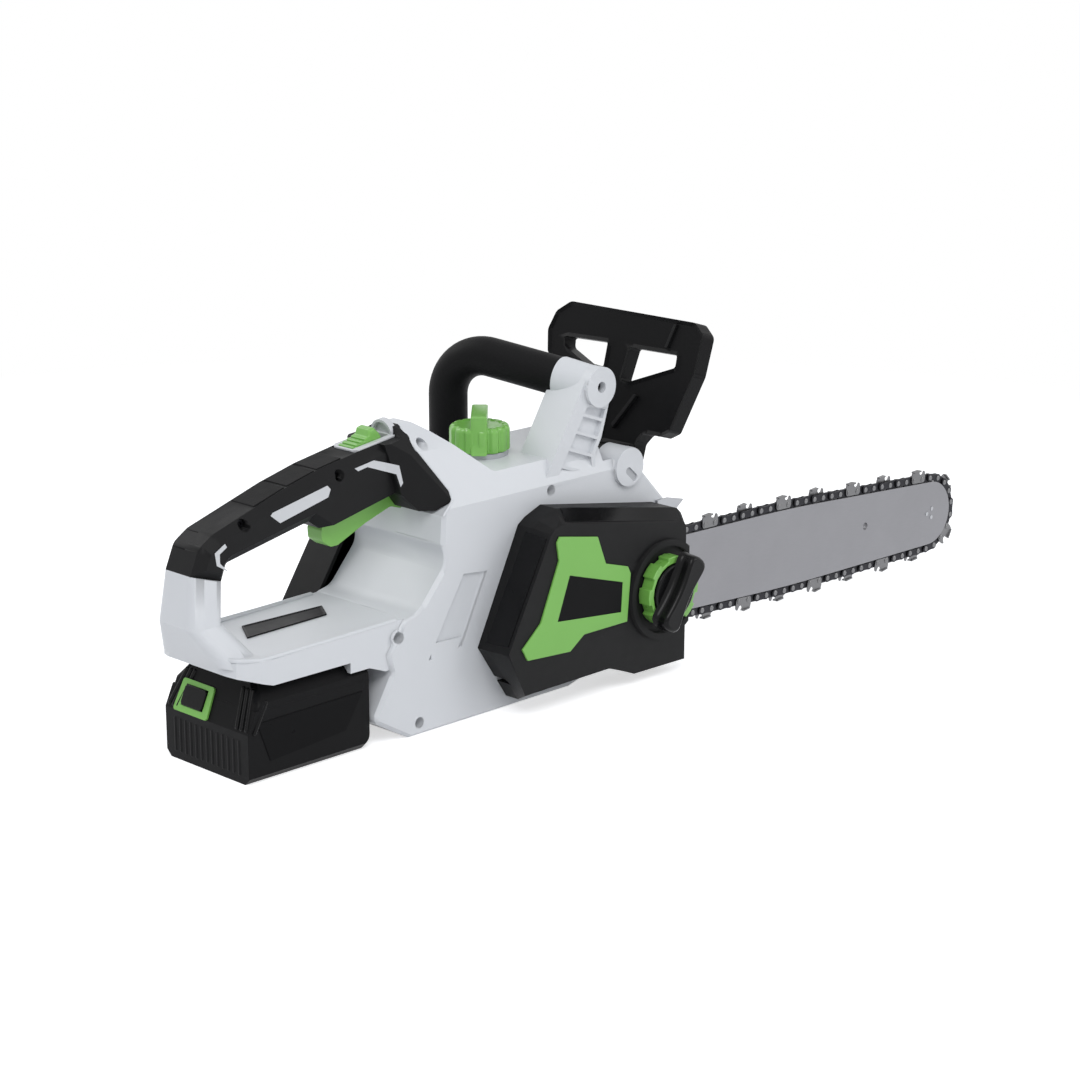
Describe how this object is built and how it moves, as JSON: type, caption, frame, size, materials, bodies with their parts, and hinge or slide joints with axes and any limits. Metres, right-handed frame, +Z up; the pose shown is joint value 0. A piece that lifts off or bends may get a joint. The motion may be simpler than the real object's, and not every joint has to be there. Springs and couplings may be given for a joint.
{
  "type": "chainsaw",
  "caption": "Compact battery chainsaw: rear handle with trigger, looped front handle, tilting hand guard, side cover with clamp knob, bar and chain.",
  "frame": {"origin": "on the flat underside, in the parting plane between the two housing shells", "axes": "+X along the cutting direction, from the rear handle to the tip of the bar; +Y to the operator's left; +Z up"},
  "size_m": [0.6792, 0.1725, 0.2297],
  "materials": {
    "white_shell": "satin moulded nylon with a fine grain",
    "black_shell": "matt moulded nylon with a fine grain",
    "black_gloss": "semi-gloss moulding",
    "soft_grip": "soft matt rubber",
    "green": "satin moulding",
    "green_gloss": "glossy moulding",
    "grey_inlay": "satin moulding",
    "grey_plastic": "satin moulding",
    "label": "bare satin label",
    "plate": "bare satin name plate",
    "bar_steel": "ground and lacquered steel",
    "chain_dark": "blackened steel",
    "chain_bright": "ground steel",
    "zinc": "zinc-plated steel",
    "sprocket_steel": "hardened steel",
    "alloy": "die-cast",
    "winding": "enamelled copper and laminations",
    "board": "circuit board",
    "cell": "shrink sleeve",
    "contact": "plated spring contact",
    "seal": "rubber",
    "tank": "translucent moulding"
  },
  "bodies": {
    "frame": {"housing_right": "white_shell", "housing_left": "white_shell", "rear_grip_right": "black_shell", "rear_grip_left": "black_shell", "grip_pads": "soft_grip", "grip_inserts": "grey_inlay", "lock_bezel": "grey_inlay", "trigger_pin": "zinc", "trigger_switch": "black_gloss", "front_handle_core": "alloy", "front_handle_grip": "soft_grip", "front_handle_foot": "black_shell", "guard_pin": "zinc", "brake_switch": "black_gloss", "sprocket_cover": "black_shell", "cover_insert": "green", "cover_plate": "label", "clamp_stud": "zinc", "spindle_bearings": "zinc", "gear_case": "alloy", "motor_can": "zinc", "motor_cover": "black_shell", "oil_neck": "grey_plastic", "oil_tank": "tank", "oil_pump": "alloy", "bar_pad": "alloy", "bumper_spikes": "zinc", "name_plate": "plate", "control_board": "board"},
    "guard": {"hand_guard": "black_shell"},
    "trigger": {"trigger": "green"},
    "lock": {"lock_button": "green_gloss"},
    "cap_seal": {"oil_cap_seal": "seal"},
    "cap": {"oil_cap": "green_gloss"},
    "clamp": {"clamp_knob": "black_gloss"},
    "tensioner": {"tension_ring": "green_gloss", "tension_cam": "zinc"},
    "bar": {"guide_bar": "bar_steel", "nose_star": "sprocket_steel", "nose_rivets": "zinc", "tension_pin": "zinc", "chain_drive_links": "chain_dark", "chain_tie_straps": "chain_dark", "chain_cutters_left": "chain_bright", "chain_cutters_right": "chain_bright"},
    "drive": {"spindle": "sprocket_steel", "sprocket": "sprocket_steel", "spindle_gear": "sprocket_steel"},
    "motor": {"motor_rotor": "winding", "motor_shaft": "zinc", "motor_pinion": "sprocket_steel", "motor_fan": "black_shell"},
    "battery": {"battery_lower": "black_shell", "battery_upper": "black_shell", "battery_cells": "cell", "battery_contacts": "contact", "battery_plates": "label", "battery_surround": "green"},
    "battery_latch": {"battery_button": "black_gloss"}
  },
  "joints": [
    {"name": "guard_hinge", "type": "hinge", "parent": "frame", "child": "guard", "pos_m": [0.1235, -0.0215, 0.1375], "axis": [0, 1, 0], "range_deg": [0, 22]},
    {"name": "trigger_hinge", "type": "hinge", "parent": "frame", "child": "trigger", "pos_m": [-0.048, 0, 0.145], "axis": [0, 1, 0], "range_deg": [0, 6], "stiffness_Nm_per_rad": 0.8, "springref_deg": -11.46},
    {"name": "lock_slide", "type": "slide", "parent": "frame", "child": "lock", "axis": [0.9903, 0, 0.1392], "range_m": [0, 0.006], "stiffness_N_per_m": 300, "springref_m": -0.003},
    {"name": "cap_lift", "type": "slide", "parent": "frame", "child": "cap_seal", "axis": [0, 0, 1], "range_m": [0, 0.008]},
    {"name": "cap_turn", "type": "hinge", "parent": "cap_seal", "child": "cap", "pos_m": [0.038, 0.005, 0.17], "axis": [0, 0, 1], "range_deg": [0, 720]},
    {"name": "clamp_turn", "type": "hinge", "parent": "frame", "child": "clamp", "pos_m": [0.12945, -0.071, 0.05974], "axis": [0, -1, 0], "continuous": true},
    {"name": "tension_turn", "type": "hinge", "parent": "frame", "child": "tensioner", "pos_m": [0.12945, -0.071, 0.05974], "axis": [0, -1, 0], "range_deg": [-270, 0]},
    {"name": "bar_slide", "type": "slide", "parent": "frame", "child": "bar", "axis": [0.9994, 0, -0.0349], "range_m": [-0.005, 0]},
    {"name": "spindle_turn", "type": "hinge", "parent": "frame", "child": "drive", "pos_m": [0.0534, -0.025, 0.0624], "axis": [0, 1, 0], "continuous": true},
    {"name": "motor_turn", "type": "hinge", "parent": "frame", "child": "motor", "pos_m": [0.02335, 0.025, 0.07975], "axis": [0, 1, 0], "continuous": true},
    {"name": "battery_slide", "type": "slide", "parent": "frame", "child": "battery", "axis": [-1, 0, 0], "range_m": [0, 0.12]},
    {"name": "battery_press", "type": "slide", "parent": "battery", "child": "battery_latch", "axis": [0.908, 0, -0.4191], "range_m": [0, 0.0025], "stiffness_N_per_m": 800, "springref_m": -0.0015}
  ],
  "couplings": [
    {"joint": "cap_turn", "follows": "cap_lift", "rad_per_m": 1570.8},
    {"joint": "tension_turn", "follows": "bar_slide", "rad_per_m": 942.48},
    {"joint": "motor_turn", "follows": "spindle_turn", "ratio": -3.6}
  ]
}
